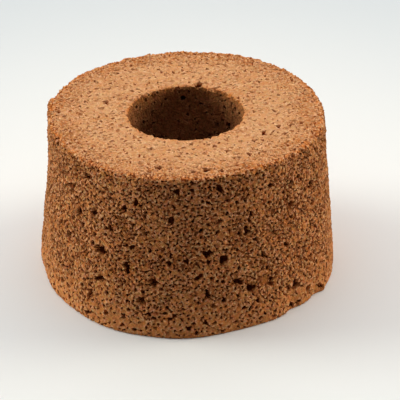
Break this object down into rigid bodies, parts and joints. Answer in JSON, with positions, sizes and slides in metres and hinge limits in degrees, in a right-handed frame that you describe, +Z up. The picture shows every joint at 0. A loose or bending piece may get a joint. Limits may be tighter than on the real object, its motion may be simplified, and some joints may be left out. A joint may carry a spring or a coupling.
{
  "type": "chiffon cake",
  "caption": "Small plain brown chiffon cake turned out of a tube tin: a tapered ring of open crumb with a round hole through it, standing on its flat wider end.",
  "frame": {"origin": "middle of the footprint's box, on the surface that the cake stands on", "axes": "+Z up through the hole, -Y towards the side shown in the picture"},
  "size_m": [0.098, 0.1032, 0.0557],
  "materials": {
    "crumb": "matte"
  },
  "bodies": {
    "root": {"chiffon_ring": "crumb"}
  },
  "joints": []
}
